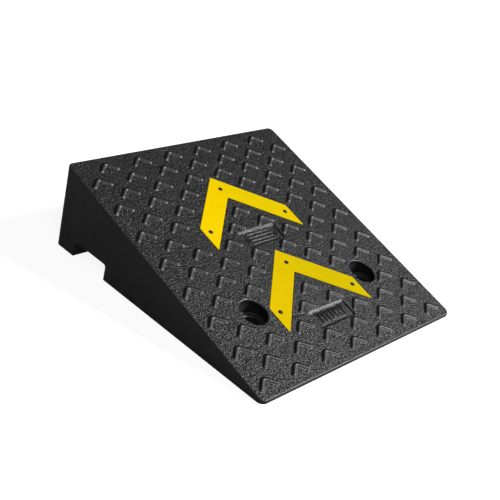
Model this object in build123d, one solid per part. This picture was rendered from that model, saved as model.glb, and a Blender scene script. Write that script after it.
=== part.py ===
from build123d import *
import math
import os

# A moulded rubber kerb ramp: a wedge that stands against a kerb. X runs across the ramp, Y from the
# thin front lip to the rear face, Z up. The origin is the middle of the base. Sizes are millimetres.

# Overall size
ramp_width = 500.0
ramp_length = 500.0
kerb_height = 150.0
lip_height = 6.0
corner_radius = 11.0
edge_radius = 2.0

# Direction of the arrow arms, shared by the chevrons and the tread ribs
arm_angle = 43.2

# Tread ribs: raised arrow heads in staggered rows, drafted so that they leave the mould. The rows lie
# a little to the left of the middle
rib_pitch = 72.1
rib_row_pitch = 31.36
rib_first_row = 26.0
rib_offset = -2.4
rib_side_margin = 10.0
rib_rear_margin = 8.0
rib_clearance = 3.0
rib_span = 33.7
rib_base_width = 8.7
rib_top_width = 3.0
rib_height = 2.1
rib_nose_setback = 2.3

# Chevron plates, let into the top and riveted
chevron_half_width = 108.2
chevron_band = 52.7
chevron_rear_margin = 95.5
chevron_front_margin = 84.2
chevron_thickness = 2.0
chevron_proud = 0.5
chevron_fit = 0.4

# Rivets through the chevrons
rivet_head_diameter = 8.5
rivet_head_height = 1.2
rivet_crown_diameter = 5.0
rivet_shank_diameter = 4.0
rivet_grip = 10.0
rivet_end_inset = 13.9
rivet_apex_setback = 31.0
rivet_hole_fit = 0.15

# Shallow pockets below each chevron, with a leaning front wall and a long bevel at the rear
pocket_width = 90.0
pocket_length = 37.5
pocket_depth = 2.0
pocket_front_bevel = 1.6
pocket_rear_bevel = 5.5
pocket_front_margin = 69.0
pocket_chevron_gap = 18.7

# Fixing holes: an upright counterbore, a washer seat below its floor and a bolt hole
fixing_setback = 136.7
fixing_chevron_gap = 8.8
fixing_bore_diameter = 48.0
fixing_floor = 26.4
fixing_rim_bevel = 2.0
seat_depth = 10.0
seat_edge_bevel = 1.0
washer_diameter = 28.0
washer_thickness = 2.5
washer_fit = 0.5
bolt_hole_diameter = 15.0

# Channel under the rear, open at both sides, for a cable or rain water
channel_width = 83.0
channel_height = 28.0
channel_corner_radius = 5.0
rear_foot = 49.0

# Cored underside: rows of cells between webs, below a skin of even thickness
skin = 16.0
side_wall = 24.0
web = 12.0
cell_size = 46.0
cell_corner_bevel = 5.0
cell_min_depth = 9.0
channel_ledge = 5.0
fixing_block = 14.0

# How far a cutting form runs past the face that it opens
overcut = 5.0

# Values worked out from the sizes above
half_length = ramp_length / 2
slope_angle = math.atan2(kerb_height - lip_height, ramp_length)
slope_length = math.hypot(ramp_length, kerb_height - lip_height)
arm_slope = math.tan(math.radians(arm_angle))
arm_drop = chevron_half_width * arm_slope
chevron_recess = chevron_thickness - chevron_proud
rear_apex = slope_length - chevron_rear_margin
front_apex = chevron_front_margin + arm_drop + chevron_band
fixing_x = chevron_half_width + fixing_chevron_gap + fixing_bore_diameter / 2
fixing_y = -half_length + fixing_setback
seat_diameter = washer_diameter + 2 * washer_fit
seat_floor = fixing_floor - seat_depth
channel_rear = half_length - rear_foot
channel_front = channel_rear - channel_width

# The sloping top: local x across, local y up the slope from the lip, local z out of the surface
top_plane = Plane(
    origin=(0, -half_length, lip_height),
    x_dir=(1, 0, 0),
    z_dir=(0, -math.sin(slope_angle), math.cos(slope_angle)),
)


def height_at(y):
    """Height of the sloping top above the base."""
    return lip_height + (y + half_length) * math.tan(slope_angle)


def wedge():
    """The ramp's outer block with its upright corners and its top edge rounded."""
    side = Polyline(
        (-half_length, 0),
        (half_length, 0),
        (half_length, kerb_height),
        (-half_length, lip_height),
        close=True,
    )
    block = extrude(Plane.YZ * make_face(side), amount=ramp_width / 2, both=True)
    block = fillet(block.edges().filter_by(Axis.Z), corner_radius)
    top = block.faces().sort_by(Axis(top_plane.origin, top_plane.z_dir))[-1]
    return fillet(top.edges(), min(edge_radius, lip_height / 3))


def chevron_outline(apex, growth=0.0):
    """Arrow outline on the sloping top, its ends cut along the way of travel."""
    half = chevron_half_width + growth
    lift = growth / math.cos(math.radians(arm_angle))
    outer = apex + lift
    inner = apex - chevron_band - lift
    drop = half * arm_slope
    points = [(0, outer), (half, outer - drop), (half, inner - drop)]
    points += [(0, inner), (-half, inner - drop), (-half, outer - drop)]
    return make_face(Polyline(*points, close=True))


def chevron_recess_cut(apex):
    """Shallow seat for one chevron plate, open above the tread."""
    depth = Plane(origin=(0, 0, -chevron_recess))
    cut = extrude(depth * chevron_outline(apex, chevron_fit), amount=chevron_recess + rib_height + overcut)
    return top_plane * cut


def rivet_places(apex):
    """Name and place of the three rivets of one chevron, on the sloping top."""
    end_x = chevron_half_width - rivet_end_inset
    end_s = apex - end_x * arm_slope - chevron_band / 2
    return [
        ("apex", 0.0, apex - rivet_apex_setback),
        ("left", -end_x, end_s),
        ("right", end_x, end_s),
    ]


def rivet_hole(x, s, depth_from, depth_to):
    """Round hole square to the sloping top."""
    radius = rivet_shank_diameter / 2 + rivet_hole_fit
    hole = Pos(x, s, depth_from) * extrude(Circle(radius), amount=depth_from - depth_to, dir=(0, 0, -1))
    return top_plane * hole


def chevron(apex):
    """One chevron plate, seated on the floor of its recess."""
    seat = Plane(origin=(0, 0, -chevron_recess))
    plate = top_plane * extrude(seat * chevron_outline(apex), amount=chevron_thickness)
    for _, x, s in rivet_places(apex):
        plate -= rivet_hole(x, s, chevron_proud + overcut, -chevron_recess - overcut)
    return plate


def rivet(x, s):
    """Rivet with a low coned head: the head lies on the plate and the shank grips the rubber below."""
    head = rivet_head_diameter / 2
    crown = rivet_crown_diameter / 2
    shank = rivet_shank_diameter / 2
    crest = chevron_proud + rivet_head_height
    foot = -chevron_recess - rivet_grip
    stem = [(0, crest), (0, foot), (shank, foot), (shank, chevron_proud)]
    cone = [(head, chevron_proud), (crown, crest)]
    profile = make_face(Polyline(*stem, *cone, close=True))
    return top_plane * Pos(x, s, 0) * revolve(Plane.XZ * profile, axis=Axis.Z)


def rib_form():
    """One raised arrow head about its own middle: two drafted arms with bevelled tips, mitred at the
    apex, their nose blunted and their roots sunk a little into the top."""
    draft = math.atan2((rib_base_width - rib_top_width) / 2, rib_height)
    root = rib_height / 2
    half = rib_base_width / 2 + root * math.tan(draft)
    bevel = half * math.tan(math.pi / 8)
    arm = rib_span / 2 / math.cos(math.radians(arm_angle))
    apex = rib_span / 4 * arm_slope
    tip = [(arm + bevel, -half), (arm + half, -bevel), (arm + half, bevel), (arm + bevel, half)]
    outline = make_face(Polyline((-2 * half, -half), *tip, (-2 * half, half), close=True))
    bar = extrude(outline, amount=root + rib_height, taper=math.degrees(draft))
    right = split(Pos(0, apex, -root) * Rot(0, 0, -arm_angle) * bar, Plane.YZ)
    nose = apex + half - rib_nose_setback
    room = Rectangle(3 * rib_span, 3 * rib_span, align=(Align.CENTER, Align.MAX))
    blunt = Pos(0, nose, -root) * extrude(room, amount=root + rib_height, taper=math.degrees(draft))
    return (right + mirror(right, Plane.YZ)) & blunt


def rib_arms(x, s):
    """Middle line of the two arms of an arrow head on the sloping top."""
    half = rib_span / 2
    apex = half / 2 * arm_slope
    return Polyline((x - half, s - apex), (x, s + apex), (x + half, s - apex))


def taken_places():
    """Outlines on the sloping top that the arrow heads keep clear of."""
    places = [chevron_outline(apex, chevron_fit) for apex in (rear_apex, front_apex)]
    places += [Pos(0, middle) * Rectangle(pocket_width, pocket_length) for middle in pocket_middles()]
    across = fixing_bore_diameter / 2 + fixing_rim_bevel + rib_base_width / 2
    fixing_s = fixing_setback / math.cos(slope_angle)
    hole = Ellipse(across, across / math.cos(slope_angle))
    places += [Pos(x, fixing_s) * hole for x in (-fixing_x, fixing_x)]
    return places


def tread_ribs():
    """All arrow heads: staggered rows from the lip to the rear edge, left out where the top is taken."""
    form = rib_form()
    taken = taken_places()
    reach = rib_span / 2 + rib_base_width / 2
    rise = rib_span / 4 * arm_slope + rib_base_width / 2
    x_limit = ramp_width / 2 - rib_side_margin - reach
    s_limit = slope_length - rib_rear_margin - rise
    ribs = []
    row = 0
    s = rib_first_row
    while s < s_limit:
        count = int(2 * x_limit / rib_pitch) + 1
        if (count % 2 == 1) != (row % 2 == 0):
            count -= 1
        for column in range(count):
            x = rib_offset + (column - (count - 1) / 2) * rib_pitch
            arms = rib_arms(x, s)
            if all(place.distance_to(arms) > rib_clearance for place in taken):
                ribs.append(top_plane * Pos(x, s, 0) * form)
        row += 1
        s = rib_first_row + row * rib_row_pitch
    return ribs


def pocket_middles():
    """Middles of the two pockets along the slope."""
    front = pocket_front_margin + pocket_length / 2
    rear = front_apex + pocket_chevron_gap + pocket_length / 2
    return [front, rear]


def pocket_cut(middle):
    """Shallow pocket, its rear wall leaning far back so that it catches the light."""
    front = middle - pocket_length / 2
    rear = middle + pocket_length / 2
    above = rib_height + overcut
    side = Polyline(
        (front, above),
        (front, 0),
        (front + pocket_front_bevel, -pocket_depth),
        (rear - pocket_rear_bevel, -pocket_depth),
        (rear, 0),
        (rear, above),
        close=True,
    )
    along = Plane(
        origin=top_plane.origin,
        x_dir=(0, math.cos(slope_angle), math.sin(slope_angle)),
        z_dir=(1, 0, 0),
    )
    return extrude(along * make_face(side), amount=pocket_width / 2, both=True)


def fixing_cut(x):
    """Counterbore, washer seat and bolt hole on one upright axis."""
    top = kerb_height
    bore = Pos(x, fixing_y, fixing_floor) * extrude(Circle(fixing_bore_diameter / 2), amount=top)
    seat = Pos(x, fixing_y, seat_floor) * extrude(Circle(seat_diameter / 2), amount=top)
    hole = Pos(x, fixing_y, -overcut) * extrude(Circle(bolt_hole_diameter / 2), amount=top)
    return bore + seat + hole


def hole_edges(body, x, diameter, level):
    """Edges of one round hole, picked by its axis, its width and the level that they rise above."""
    picked = []
    for edge in body.edges():
        box = edge.bounding_box()
        off_axis = math.hypot(box.center().X - x, box.center().Y - fixing_y)
        if off_axis < washer_fit and abs(box.size.X - diameter) < washer_fit and box.max.Z > level:
            picked.append(edge)
    return picked


def finish_fixing(body, x):
    """Bevels the rim of a counterbore and the edge of the washer seat in its floor."""
    rim = hole_edges(body, x, fixing_bore_diameter, fixing_floor + washer_fit)
    body = chamfer(rim, fixing_rim_bevel)
    return chamfer(hole_edges(body, x, seat_diameter, seat_floor + washer_fit), seat_edge_bevel)


def washer(x):
    """Flat steel washer on the floor of its seat."""
    ring = Circle(washer_diameter / 2) - Circle(bolt_hole_diameter / 2)
    return Pos(x, fixing_y, seat_floor) * extrude(ring, amount=washer_thickness)


def channel_cut():
    """Channel across the whole width, with rounded upper corners."""
    middle = (channel_front + channel_rear) / 2
    side = Pos(middle, 0) * Rectangle(channel_width, 2 * channel_height)
    side = fillet(side.vertices().group_by(Axis.Y)[-1], channel_corner_radius)
    return extrude(Plane.YZ * side, amount=ramp_width / 2 + overcut, both=True)


def cell_rows():
    """Front and rear limits of each row of cells, from the channel forwards, and above the channel."""
    middle = (channel_front + channel_rear) / 2
    rows = [
        (channel_front + channel_ledge, middle - web / 2),
        (middle + web / 2, channel_rear - channel_ledge),
    ]
    rear = channel_front - web
    drop = skin / math.cos(slope_angle)
    while height_at(rear - cell_size) - drop > cell_min_depth:
        rows.append((rear - cell_size, rear))
        rear -= cell_size + web
    return rows


def cell_columns():
    """Left and right limits of each column of cells."""
    inside = ramp_width - 2 * side_wall
    count = int((inside + web) / (cell_size + web))
    width = (inside - (count - 1) * web) / count
    left = -inside / 2
    return [(left + n * (width + web), left + n * (width + web) + width) for n in range(count)]


def near_fixing(left, right, front, rear):
    """True where a cell would thin the block round a fixing hole."""
    reach = fixing_bore_diameter / 2 + fixing_block
    for x in (-fixing_x, fixing_x):
        gap_x = max(left - x, x - right, 0)
        gap_y = max(front - fixing_y, fixing_y - rear, 0)
        if math.hypot(gap_x, gap_y) < reach:
            return True
    return False


def cell_cores():
    """The cells' cores: upright prisms cut off by a plane below the skin."""
    prisms = []
    for front, rear in cell_rows():
        for left, right in cell_columns():
            if near_fixing(left, right, front, rear):
                continue
            opening = chamfer(Rectangle(right - left, rear - front).vertices(), cell_corner_bevel)
            place = Pos((left + right) / 2, (front + rear) / 2, -overcut)
            prisms.append(place * extrude(opening, amount=kerb_height))
    above = top_plane * Pos(0, slope_length / 2, -skin) * Box(
        2 * ramp_width, 2 * slope_length, 2 * kerb_height, align=(Align.CENTER, Align.CENTER, Align.MIN)
    )
    return Part() + prisms - above


def ramp_body():
    """The moulded body with its tread, seats, pockets, fixing holes, channel and cells."""
    body = wedge() + tread_ribs()
    body -= [chevron_recess_cut(apex) for apex in (rear_apex, front_apex)]
    body -= [pocket_cut(middle) for middle in pocket_middles()]
    body -= [fixing_cut(x) for x in (-fixing_x, fixing_x)]
    for x in (-fixing_x, fixing_x):
        body = finish_fixing(body, x)
    body -= channel_cut()
    body -= cell_cores()
    foot = -chevron_recess - rivet_grip - rivet_hole_fit
    for apex in (rear_apex, front_apex):
        body -= [rivet_hole(x, s, 0, foot) for _, x, s in rivet_places(apex)]
    return body


nodes = {"ramp_body": ramp_body()}
for name, apex in (("rear_chevron", rear_apex), ("front_chevron", front_apex)):
    nodes[name] = chevron(apex)
    for place, x, s in rivet_places(apex):
        nodes[f"{name}_rivet_{place}"] = rivet(x, s)
for name, x in (("left_fixing_washer", -fixing_x), ("right_fixing_washer", fixing_x)):
    nodes[name] = washer(x)

os.makedirs("parts", exist_ok=True)
for name, solid in nodes.items():
    export_step(solid, f"parts/{name}.step")
    print(name, round(solid.volume), "cubic mm")
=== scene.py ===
# %% [markdown]
# # A moulded rubber kerb ramp
# The object is a wedge of black rubber that lies against a kerb, so that a wheel can climb it. Two
# yellow arrow plates are riveted into its top, and small raised arrow heads give the tyre its grip.
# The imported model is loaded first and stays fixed: everything below is built around it, in metres.

# %% Load the frame
import math

import bmesh
import bpy
from mathutils import Matrix, Vector
from mathutils.geometry import delaunay_2d_cdt


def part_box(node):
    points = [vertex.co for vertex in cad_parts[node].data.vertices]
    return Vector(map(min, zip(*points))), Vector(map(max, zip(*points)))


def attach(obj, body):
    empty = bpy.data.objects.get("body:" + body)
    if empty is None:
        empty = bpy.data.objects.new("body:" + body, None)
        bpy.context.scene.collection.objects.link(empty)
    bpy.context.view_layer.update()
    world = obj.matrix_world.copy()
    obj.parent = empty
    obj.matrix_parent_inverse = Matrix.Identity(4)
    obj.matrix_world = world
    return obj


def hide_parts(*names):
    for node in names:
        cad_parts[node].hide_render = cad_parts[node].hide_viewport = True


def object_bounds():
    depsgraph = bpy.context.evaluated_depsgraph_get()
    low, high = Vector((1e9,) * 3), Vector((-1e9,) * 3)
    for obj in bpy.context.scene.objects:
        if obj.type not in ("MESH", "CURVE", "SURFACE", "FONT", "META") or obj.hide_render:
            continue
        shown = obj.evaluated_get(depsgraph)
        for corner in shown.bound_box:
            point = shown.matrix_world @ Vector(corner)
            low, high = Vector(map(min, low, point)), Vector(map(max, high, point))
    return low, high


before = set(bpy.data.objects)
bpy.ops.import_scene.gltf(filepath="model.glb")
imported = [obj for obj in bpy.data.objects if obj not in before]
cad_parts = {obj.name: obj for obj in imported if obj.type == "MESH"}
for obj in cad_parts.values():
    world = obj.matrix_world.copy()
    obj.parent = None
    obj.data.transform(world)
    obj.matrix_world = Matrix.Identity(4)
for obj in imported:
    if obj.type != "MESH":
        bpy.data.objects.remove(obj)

cad_low, cad_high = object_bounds()
print("CAD nodes:", len(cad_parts))
print("CAD box:", [round(v, 4) for v in cad_low], [round(v, 4) for v in cad_high])

# %% [markdown]
# ## Sizes of the wedge
# The width and length come from the frame's box. The top is one sloping plane from a thin front lip to
# the kerb's height, so most of the work is done in that plane: x across, s up the slope from the lip
# and h out of the surface. One matrix carries such a point into the frame.

# %% The sloping top
MM = 0.001
half_width = cad_high.x
half_length = cad_high.y
lip_height = 6 * MM
kerb_height = 150 * MM
slope = math.atan2(kerb_height - lip_height, 2 * half_length)
slope_length = 2 * half_length / math.cos(slope)
slope_frame = Matrix.Translation((0, -half_length, lip_height)) @ Matrix.Rotation(slope, 4, "X")
slope_normal = slope_frame.to_3x3() @ Vector((0, 0, 1))
up_slope = slope_frame.to_3x3() @ Vector((0, 1, 0))


def on_slope(x, s, h=0.0):
    """A point of the frame, given in the sloping plane."""
    return slope_frame @ Vector((x, s, h))


def top_height(y):
    """Height of the sloping top above the floor."""
    return lip_height + (y + half_length) * math.tan(slope)


print("slope", round(math.degrees(slope), 2), "degrees, length", round(slope_length, 4))

# %% [markdown]
# ## Camera
# The photograph looks down on the ramp from its front left, and the camera is rolled a little, so that
# the ramp seems to lean. A camera can be aimed with a Track To constraint, but that can't roll; here
# its three axes are worked out from the angles and set as a matrix.

# %% Camera
azimuth = math.radians(-52.5)
elevation = math.radians(27.97)
roll = math.radians(14.24)
camera_distance = 1.64068
camera_offset = (-0.01232, 0.05174)
focal_share = 934.9 / 500
sensor_width = 36.0

back = Vector((
    math.sin(azimuth) * math.cos(elevation),
    -math.cos(azimuth) * math.cos(elevation),
    math.sin(elevation),
))
level_right = Vector((math.cos(azimuth), math.sin(azimuth), 0))
level_up = back.cross(level_right)
right = level_right * math.cos(roll) + level_up * math.sin(roll)
up = level_up * math.cos(roll) - level_right * math.sin(roll)
eye = right * camera_offset[0] + up * camera_offset[1] + back * camera_distance

camera = bpy.data.objects.new("photo_camera", bpy.data.cameras.new("photo_camera"))
camera.data.sensor_width = sensor_width
camera.data.lens = focal_share * sensor_width
camera.matrix_world = Matrix.Translation(eye) @ Matrix((right, up, back)).transposed().to_4x4()
bpy.context.scene.collection.objects.link(camera)
bpy.context.scene.camera = camera
print("camera at", [round(v, 3) for v in eye], "lens", round(camera.data.lens, 2))

# %% [markdown]
# ## Floor
# A pale floor fills the picture. It's lit like any surface, so it keeps the ramp's shadow. Stronger
# lamps could make it white, but they would bleach the ramp too. Instead it has a glow that only the
# camera and mirror-like surfaces see.

# %% Floor
floor_colour = 0.5
floor_glow = 0.9
floor_side = 14.0


def seen_directly(tree):
    """One for what the camera, a mirror or glass shows, zero for light that bounces."""
    path = tree.nodes.new("ShaderNodeLightPath").outputs
    seen = path["Is Camera Ray"]
    for label in ("Is Glossy Ray", "Is Transmission Ray"):
        either = tree.nodes.new("ShaderNodeMath")
        either.operation = "MAXIMUM"
        tree.links.new(seen, either.inputs[0])
        tree.links.new(path[label], either.inputs[1])
        seen = either.outputs[0]
    return seen


def floor_material():
    """Pale matt floor with a glow for what is seen of it."""
    material = bpy.data.materials.new("pale_floor")
    material.use_nodes = True
    nodes, links = material.node_tree.nodes, material.node_tree.links
    nodes.clear()
    output = nodes.new("ShaderNodeOutputMaterial")
    both = nodes.new("ShaderNodeAddShader")
    matt = nodes.new("ShaderNodeBsdfDiffuse")
    matt.inputs["Color"].default_value = (floor_colour, floor_colour, floor_colour, 1)
    glow = nodes.new("ShaderNodeEmission")
    glow.inputs["Color"].default_value = (floor_glow, floor_glow, floor_glow, 1)
    links.new(seen_directly(material.node_tree), glow.inputs["Strength"])
    links.new(matt.outputs[0], both.inputs[0])
    links.new(glow.outputs[0], both.inputs[1])
    links.new(both.outputs[0], output.inputs["Surface"])
    return material


edge = floor_side / 2
floor_corners = [(-edge, -edge, 0), (edge, -edge, 0), (edge, edge, 0), (-edge, edge, 0)]
floor_mesh = bpy.data.meshes.new("floor")
floor_mesh.from_pydata(floor_corners, [], [(0, 1, 2, 3)])
floor_mesh.materials.append(floor_material())
floor = bpy.data.objects.new("floor", floor_mesh)
bpy.context.scene.collection.objects.link(floor)
print("floor side:", floor_side, "m")

# %% [markdown]
# ## Light
# The main lamp stands far off to the front right, as a window would, so that the tread shines a little.
# A weak lamp near the camera opens up the fixing holes, and a dim even surround does the rest. A picture
# of a studio could light the ramp as well, but lamps are easier to move. Together they give a plain
# level, at which a colour renders about as it is written.

# %% World and lamps
world_fill = 0.04
lamp_target = Vector((0, 0, 0.05))


def studio_world():
    """Dim even surround."""
    world = bpy.data.worlds.new("studio")
    world.use_nodes = True
    background = world.node_tree.nodes["Background"]
    background.inputs["Color"].default_value = (1, 1, 1, 1)
    background.inputs["Strength"].default_value = world_fill
    bpy.context.scene.world = world


def softbox(name, place, size, watts):
    """Square area lamp that faces the ramp."""
    lamp = bpy.data.lights.new(name, "AREA")
    lamp.shape = "SQUARE"
    lamp.size = size
    lamp.energy = watts
    holder = bpy.data.objects.new(name, lamp)
    holder.location = place
    holder.rotation_euler = (lamp_target - Vector(place)).to_track_quat("-Z", "Y").to_euler()
    bpy.context.scene.collection.objects.link(holder)


studio_world()
softbox("key_softbox", place=(2.95, -2.35, 3.12), size=1.0, watts=328)
softbox("fill_softbox", place=(-1.6, -1.9, 2.6), size=0.8, watts=12)
bpy.context.scene.view_settings.view_transform = "Standard"

# %% [markdown]
# ## Outlines
# Nearly every form here is an outline that is stepped in or out while it rises or sinks: the seat of a
# plate, a pocket, a hole's rim, a rib. Bevel modifiers could round such edges, but they slip on a plane
# that is cut into triangles. So outlines are offset by a small function and stacked as rings.


# %% Outline helpers
def arc_corner(before, corner, after, radius, steps):
    """Points that round one corner of a path."""
    to_before = (before - corner).normalized()
    to_after = (after - corner).normalized()
    half = to_before.angle(to_after) / 2
    centre = corner + (to_before + to_after).normalized() * radius / math.sin(half)
    start = corner + to_before * radius / math.tan(half) - centre
    turn = math.pi - 2 * half
    side = 1 if to_before.x * to_after.y - to_before.y * to_after.x < 0 else -1
    points = []
    for step in range(steps + 1):
        angle = side * turn * step / steps
        cos, sin = math.cos(angle), math.sin(angle)
        points.append(centre + Vector((start.x * cos - start.y * sin, start.x * sin + start.y * cos)))
    return points


def rounded_outline(corners, radius, steps):
    """Closed outline with every corner rounded."""
    corners = [Vector(c) for c in corners]
    points = []
    for n, corner in enumerate(corners):
        points += arc_corner(corners[n - 1], corner, corners[(n + 1) % len(corners)], radius, steps)
    return points


def rectangle(left, front, right, rear):
    """Corners of a rectangle, against the clock."""
    return [(left, front), (right, front), (right, rear), (left, rear)]


def mitres(points):
    """At each corner, the step that moves both its sides outwards by one."""
    steps = []
    for n, point in enumerate(points):
        first = (point - points[n - 1]).normalized()
        second = (points[(n + 1) % len(points)] - point).normalized()
        out_first = Vector((first.y, -first.x))
        out_second = Vector((second.y, -second.x))
        steps.append((out_first + out_second) / (1 + out_first.dot(out_second)))
    return steps


def grown(points, distance):
    """The outline moved outwards, or inwards where the distance is below zero."""
    return [p + m * distance for p, m in zip(points, mitres(points))]


def circle(radius, steps):
    """Points of a circle about the origin, against the clock."""
    turn = 2 * math.pi / steps
    return [Vector((radius * math.cos(turn * n), radius * math.sin(turn * n))) for n in range(steps)]


print("points of a rounded square:", len(rounded_outline(rectangle(0, 0, 1, 1), 0.1, 4)))

# %% [markdown]
# ## A shell of rings
# A small collector keeps the corners and faces of one piece. Rings become bands of four-sided faces,
# and a flat part with holes is filled between its loops by Delaunay triangles, which stay even. The
# result is one closed skin with no hidden walls, as a printable model needs.


# %% Shell collector
class Shell:
    """Corners and faces of one piece."""

    def __init__(self):
        self.corners = []
        self.faces = []

    def ring(self, points):
        """Adds corners and gives their numbers."""
        first = len(self.corners)
        self.corners += [Vector(p) for p in points]
        return list(range(first, len(self.corners)))

    def face(self, corners):
        self.faces.append(list(corners))

    def bands(self, rings):
        """Four-sided faces between each ring and the next."""
        for lower, upper in zip(rings, rings[1:]):
            for n in range(len(lower)):
                m = (n + 1) % len(lower)
                self.face((lower[n], lower[m], upper[m], upper[n]))

    def flat(self, loops, across, along):
        """Fills the flat part inside the first loop and outside the others."""
        corners = [c for loop in loops for c in loop]
        owner = [n for n, loop in enumerate(loops) for _ in loop]
        plan = [Vector((self.corners[c].dot(across), self.corners[c].dot(along))) / MM for c in corners]
        edges = []
        start = 0
        for loop in loops:
            edges += [(start + n, start + (n + 1) % len(loop)) for n in range(len(loop))]
            start += len(loop)
        outlines = [[plan[n] for n in range(len(corners)) if owner[n] == k] for k in range(len(loops))]
        points, _, triangles = delaunay_2d_cdt(plan, edges, [], 1, 1e-6)[:3]
        if len(points) != len(plan):
            raise ValueError("loops of a flat part touch or cross")
        for triangle in triangles:
            loop = owner[triangle[0]]
            middle = (plan[triangle[0]] + plan[triangle[1]] + plan[triangle[2]]) / 3
            own = all(owner[n] == loop for n in triangle)
            if own and loop > 0 and within(middle, outlines[loop]):
                continue
            if own and loop == 0 and not within(middle, outlines[0]):
                continue
            self.face([corners[n] for n in triangle])

    def take(self, mesh, matrix):
        """Adds a whole mesh and gives the loops of its open edges."""
        first = len(self.corners)
        self.corners += [matrix @ v.co for v in mesh.vertices]
        edges = set()
        for polygon in mesh.polygons:
            corners = [first + n for n in polygon.vertices]
            self.face(corners)
            edges.update(zip(corners, corners[1:] + corners[:1]))
        return open_loops([e for e in edges if (e[1], e[0]) not in edges])

    def plain_object(self, name):
        """The collected faces as an object, as they are."""
        mesh = bpy.data.meshes.new(name)
        mesh.from_pydata(self.corners, [], self.faces)
        piece = bpy.data.objects.new(name, mesh)
        bpy.context.scene.collection.objects.link(piece)
        return piece

    def make(self, name, material, sharp_angle=38):
        """The finished object: outward faces, smooth but for its sharp edges."""
        piece = self.plain_object(name)
        mesh = piece.data
        mesh.materials.append(material)
        work = bmesh.new()
        work.from_mesh(mesh)
        bmesh.ops.recalc_face_normals(work, faces=work.faces)
        open_edges = sum(1 for e in work.edges if len(e.link_faces) != 2)
        work.to_mesh(mesh)
        work.free()
        mesh.shade_smooth()
        mesh.set_sharp_from_angle(angle=math.radians(sharp_angle))
        print(name, "corners", len(mesh.vertices), "faces", len(mesh.polygons), "open edges", open_edges)
        return piece


def within(point, outline):
    """True where a point lies inside a closed outline."""
    inside = False
    for n, end in enumerate(outline):
        start = outline[n - 1]
        if (start.y > point.y) != (end.y > point.y):
            cross = start.x + (point.y - start.y) * (end.x - start.x) / (end.y - start.y)
            if point.x < cross:
                inside = not inside
    return inside


def open_loops(edges):
    """Chains directed open edges into closed loops of corner numbers."""
    follows = dict(edges)
    loops = []
    while follows:
        start, corner = follows.popitem()
        loop = [start]
        while corner != start:
            loop.append(corner)
            corner = follows.pop(corner)
        loops.append(loop)
    return loops


print("middle of a circle lies inside it:", within(Vector((0, 0)), circle(1, 8)))

# %% [markdown]
# ## Finishes: node helpers
# A finish is a tree of nodes. Such a tree can be wired by hand in the shader editor; here a few small
# functions add a node, set its options and give its output, so that each finish is short enough to read.


# %% Node helpers
def shader_group(name, inputs, outputs):
    """Empty shader group with named float inputs; the first input is a vector."""
    tree = bpy.data.node_groups.new(name, "ShaderNodeTree")
    tree.interface.new_socket(name="Vector", in_out="INPUT", socket_type="NodeSocketVector")
    for label in inputs:
        tree.interface.new_socket(name=label, in_out="INPUT", socket_type="NodeSocketFloat")
    for label in outputs:
        tree.interface.new_socket(name=label, in_out="OUTPUT", socket_type="NodeSocketFloat")
    given = tree.nodes.new("NodeGroupInput").outputs
    result = tree.nodes.new("NodeGroupOutput").inputs
    return tree, given, result


def add_node(tree, kind, values, **settings):
    """Adds a node, sets its options, links or sets its inputs, and gives its outputs."""
    made = tree.nodes.new(kind)
    for option, value in settings.items():
        setattr(made, option, value)
    for socket, value in values.items():
        if isinstance(value, bpy.types.NodeSocket):
            tree.links.new(value, made.inputs[socket])
        else:
            made.inputs[socket].default_value = value
    return made.outputs


def use_group(tree, group, values):
    """Puts a shared group into a finish and gives its first output."""
    return add_node(tree, "ShaderNodeGroup", values, node_tree=group)[0]


def math_node(tree, operation, first, second=0.0):
    """One step of arithmetic."""
    return add_node(tree, "ShaderNodeMath", {0: first, 1: second}, operation=operation)[0]


def vector_node(tree, operation, first, second=(0.0, 0.0, 0.0)):
    """One step of arithmetic with vectors; a distance or a product comes as a number."""
    outputs = add_node(tree, "ShaderNodeVectorMath", {0: first, 1: second}, operation=operation)
    return outputs["Value" if operation in ("LENGTH", "DOT_PRODUCT") else "Vector"]


def split(tree, vector):
    """The three parts of a vector, by the names X, Y and Z."""
    return add_node(tree, "ShaderNodeSeparateXYZ", {"Vector": vector})


def ramp_between(tree, value, low, high, to_low=0.0, to_high=1.0):
    """Maps a value from one range to another with soft ends."""
    sockets = {"Value": value, "From Min": low, "From Max": high, "To Min": to_low, "To Max": to_high}
    return add_node(tree, "ShaderNodeMapRange", sockets, interpolation_type="SMOOTHSTEP")[0]


def spread(tree, factor, low, high):
    """Carries a factor of zero to one over to another range."""
    return ramp_between(tree, factor, 0.0, 1.0, low, high)


def mixed_colour(tree, factor, first, second):
    """Colour between two, by a factor; each is three numbers or another node's colour."""
    first, second = [c if isinstance(c, bpy.types.NodeSocket) else (*c, 1) for c in (first, second)]
    return add_node(tree, "ShaderNodeMix", {0: factor, 6: first, 7: second}, data_type="RGBA")[2]


def mixed_value(tree, factor, first, second):
    """Value between two, by a factor."""
    return add_node(tree, "ShaderNodeMix", {0: factor, 2: first, 3: second}, data_type="FLOAT")[0]


def bump(tree, height, distance):
    """Normal of a height map."""
    return add_node(tree, "ShaderNodeBump", {"Height": height, "Distance": distance, "Strength": 1.0})[0]


def finish(name):
    """New material with its tree, its main shader and its object coordinates."""
    material = bpy.data.materials.new(name)
    material.use_nodes = True
    tree = material.node_tree
    place = add_node(tree, "ShaderNodeTexCoord", {})["Object"]
    return material, tree, tree.nodes["Principled BSDF"], place


print("materials before the finishes:", len(bpy.data.materials))

# %% [markdown]
# ## Finishes: shared effects
# Rubber from a mould has a pebbled grain on the tread and a smooth skin on the walls, and every surface
# in use is a little uneven. Pictures of rubber could serve, but their repeat would show. So both effects
# are node groups with named inputs, which each finish uses at its own scale. They work in object
# coordinates, which here are the frame's metres.


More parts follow.
